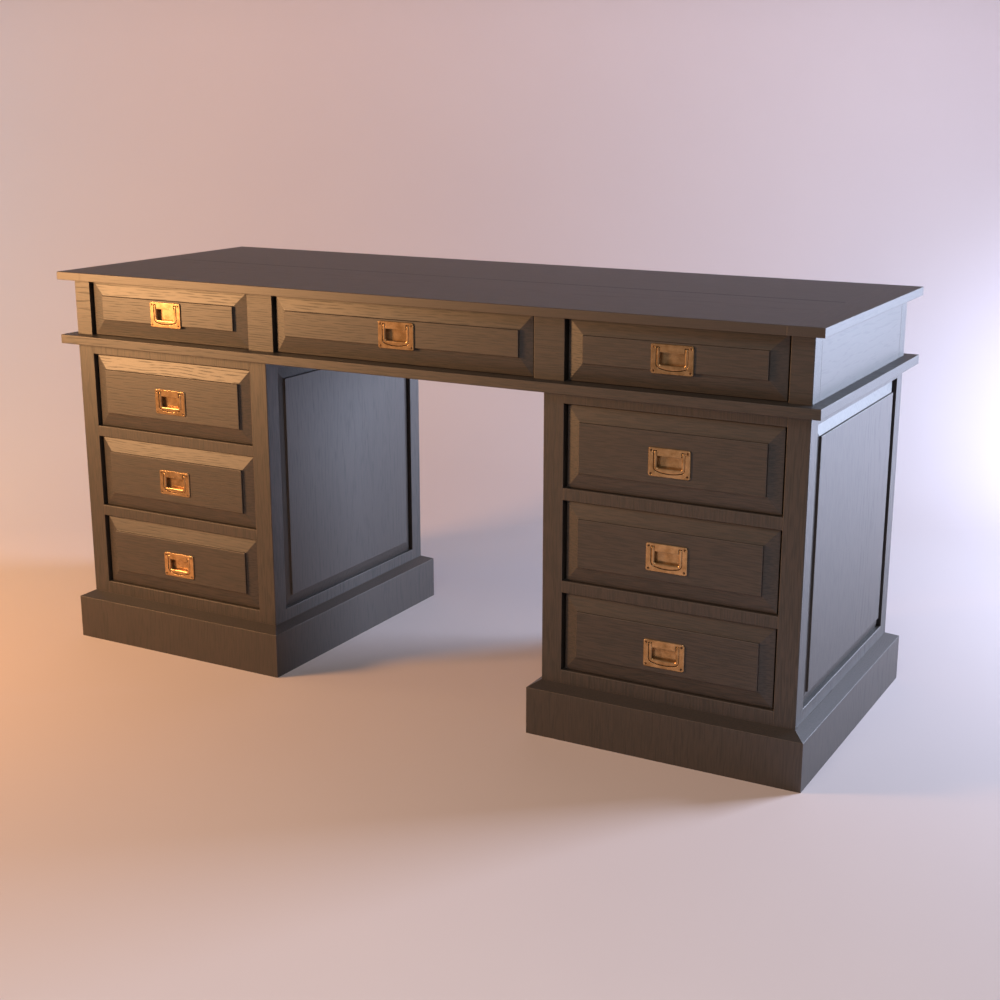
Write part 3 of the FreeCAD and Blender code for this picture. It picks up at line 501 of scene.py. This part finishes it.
# %% Screws on every plate
screw_across, screw_apart = 66 * mm, 40 * mm
head_radius, head_rise = 2.3 * mm, 0.5 * mm
slot_half, slot_depth = 0.4 * mm, 0.4 * mm
screw_turn, plate_turn = 2.1, 0.7
corner_sides = np.array([(-1, -1), (1, -1), (1, 1), (-1, 1)]) / 2
screw_count = len(corner_sides)
plates = sorted(name for name in nodes if name.endswith("_pull_plate"))
for count, name in enumerate(plates):
    low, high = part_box(name)
    middle = (low + high) / 2
    across = middle.x + corner_sides[:, 0] * screw_across
    up = middle.z + corner_sides[:, 1] * screw_apart
    centres = np.stack([across, np.full(screw_count, low.y), up], axis=-1)
    slant = screw_turn * np.arange(screw_count) + plate_turn * count
    heads = screw_heads(centres, slant, head_radius, head_rise, slot_half, slot_depth)
    desk_part = name.removesuffix("_pull_plate")
    piece = surface(desk_part + "_screw_heads", heads, closed=True)
    piece.data.materials.append(screw_brass)
    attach(piece, desk_part + "_drawer")
print("screw heads:", screw_count * len(plates), "with", len(piece.data.polygons), "faces on each plate")

# %% [markdown]
# ## Studio paper
# The desk stands on pale, matt studio paper. It is pressed from pulp, which leaves it a little mottled and
# without shine. The wall of paper is one-sided: from behind, it lets the view through, so that the back of
# the desk can be seen as well.

# %% Studio paper
mottle_width = 400 * mm
paper_roughness = 0.9
paper_pale, paper_paler = "#D8CAC8", "#DCCECB"


def paper(name, one_sided):
    """Matt pale paper, a little mottled, open to the view from behind where it is one-sided."""
    finish, tree, shader = new_finish(name)
    point = add(tree, "TexCoord", {}).outputs["Object"]
    mottle = add(tree, "TexNoise", {
        "Vector": point, "Scale": 1 / mottle_width, "Detail": 2.0,
    }).outputs["Fac"]
    colour = add(tree, "MixRGB", {
        "Fac": mottle, "Color1": linear(paper_pale), "Color2": linear(paper_paler),
    }).outputs[0]
    tree.links.new(colour, shader.inputs["Base Color"])
    shader.inputs["Roughness"].default_value = paper_roughness
    if one_sided:
        behind = add(tree, "NewGeometry", {}).outputs["Backfacing"]
        clear = add(tree, "BsdfTransparent", {}).outputs[0]
        both = add(tree, "MixShader", {0: behind, 1: shader.outputs[0], 2: clear}).outputs[0]
        tree.links.new(both, tree.nodes["Material Output"].inputs["Surface"])
    return finish


print("paper colours:", paper_pale, paper_paler)

# %% [markdown]
# ## Floor and backdrop
# The paper curves up behind the desk, so that no line shows where floor meets wall. Both lie square to the
# view, which is turned against the desk. The floor is a flat grid. The backdrop is a profile carried along a
# straight path across the view: a quarter circle that leaves the floor, and a straight wall above it.

# %% Floor and backdrop
view_turn = math.radians(28.973)
rightward = np.array([math.cos(view_turn), math.sin(view_turn), 0.0])
away = np.array([-math.sin(view_turn), math.cos(view_turn), 0.0])
upward = np.array([0.0, 0.0, 1.0])

floor_reach, floor_rows = 4.5, 13
reach = np.linspace(-floor_reach, floor_reach, floor_rows)
floor_points = reach[:, None, None] * away + reach[None, :, None] * rightward
floor = surface("floor", -floor_points[:, ::-1])
floor.data.materials.append(paper("floor paper", False))
floor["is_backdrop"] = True

curve_start, curve_radius, curve_rows = 1.0, 1.3, 25
wall_height = 5.0
paper_lift = 1 * mm
angle = np.linspace(0, math.pi / 2, curve_rows)
profile_out = curve_start + curve_radius * np.sin(angle)
profile_up = curve_radius * (1 - np.cos(angle))
profile_out = np.append(profile_out, profile_out[-1])
profile_up = np.append(profile_up, wall_height)
profile = profile_out[:, None] * away + (profile_up + paper_lift)[:, None] * upward
backdrop = surface("backdrop", profile[:, None, :] + reach[None, :, None] * rightward)
backdrop.data.materials.append(paper("backdrop paper", True))
backdrop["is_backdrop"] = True
print("backdrop faces the camera:", backdrop.data.polygons[0].normal.z > 0)

# %% [markdown]
# ## Lamps
# Two lamps give the desk its shape. The warm one stands at the left front, and its light fades along the
# drawers. The cool one stands at the right back: it makes the right end pale and throws the shadow forward.
# Four weaker lamps shade the paper: one brightens the corner behind the right end, one cools the wall and
# one warms the floor at the left, and one lifts the floor in front. All are square, so one function will do.

# %% Lamps
def lamp(name, code, power, at, aim, size, spread):
    """Adds a soft square lamp that looks from one point to another."""
    light = bpy.data.lights.new(name, "AREA")
    light.shape = "SQUARE"
    light.size = size
    light.color = linear(code)[:3]
    light.energy = power
    light.spread = math.radians(spread)
    item = bpy.data.objects.new(name, light)
    item.location = at
    item.rotation_euler = (Vector(aim) - Vector(at)).to_track_quat("-Z", "Y").to_euler()
    item.visible_camera = False
    bpy.context.scene.collection.objects.link(item)


lamp("warm lamp", "#FFBE80", power=60, at=(-1.6, -1.48, 0.92), aim=(-0.55, -0.27, 1.5), size=0.5, spread=180)
lamp("cool lamp", "#D2E1FF", power=140, at=(2.4, 1.7, 1.0), aim=(0.8, 0.3, 0.4), size=1.0, spread=180)
lamp("corner lamp", "#D1DCFF", power=19, at=(1.9, 2.0, 1.3), aim=(1.5, 2.5, 0.1), size=0.5, spread=90)
lamp("wall lamp", "#A4DCFF", power=7, at=(-2.76, -0.38, 1.2), aim=(-2.3, 1.3, 0.9), size=0.8, spread=150)
lamp("glow lamp", "#FFD08C", power=8, at=(-2.2, -0.6, 0.8), aim=(-1.8, 0.5, 0.0), size=0.8, spread=150)
lamp("floor lamp", "#FFFAF4", power=24, at=(0.9, -2.6, 2.4), aim=(0.8, -2.2, 0.0), size=1.4, spread=120)

# %% [markdown]
# ## Room light
# The room around the paper adds hardly any light of its own, so that the shaded fronts keep their depth.
# Lacquer and brass mirror it as a dim, cool room. Only where the camera looks past the paper is it pale, so
# that the desk has a plain background from every side. The kind of ray tells these three apart.

# %% Room light
room_glow, room_mirrored, room_seen = 0.03, 0.15, 0.6
room_cool, room_pale = "#D8EDFF", "#E6DAD8"
world = bpy.data.worlds.new("room light")
world.use_nodes = True
background = world.node_tree.nodes["Background"]
ray = add(world.node_tree, "LightPath", {})
tint = add(world.node_tree, "MixRGB", {
    "Fac": ray.outputs["Is Camera Ray"], "Color1": linear(room_cool), "Color2": linear(room_pale),
}).outputs[0]
mirrored = add(world.node_tree, "MapRange", {
    "Value": ray.outputs["Is Glossy Ray"], "To Min": room_glow, "To Max": room_mirrored,
}).outputs[0]
strength = add(world.node_tree, "MapRange", {
    "Value": ray.outputs["Is Camera Ray"], "To Min": mirrored, "To Max": room_seen,
}).outputs[0]
world.node_tree.links.new(tint, background.inputs["Color"])
world.node_tree.links.new(strength, background.inputs["Strength"])
bpy.context.scene.world = world
print("room light:", room_glow, "mirrored:", room_mirrored, "seen:", room_seen)

# %% [markdown]
# ## Camera
# The picture was taken from the right of the desk and a little above it, with a short telephoto lens. The
# place was found by matching corners of the desk to their places in the picture. The standard view shows
# colours as they are written.

# %% Camera
focal_length, sensor_width = 55.40, 36
view_point = (1.5032, -2.6051, 1.1310)
view_tilt = math.radians(75.159)
lens = bpy.data.cameras.new("camera")
lens.lens = focal_length
lens.sensor_width = sensor_width
camera = bpy.data.objects.new("camera", lens)
camera.location = view_point
camera.rotation_euler = (view_tilt, 0, view_turn)
bpy.context.scene.collection.objects.link(camera)
bpy.context.scene.camera = camera
bpy.context.scene.view_settings.view_transform = "Standard"
print("camera to the middle of the floor:", round(math.hypot(*view_point), 2), "metres")

# %% [markdown]
# ## Sizes
# A finish must not make the desk any larger. The box around everything that now belongs to the desk is
# measured here and printed.

# %% Sizes
low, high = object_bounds()
print("size in metres:", [round(length, 4) for length in high - low])
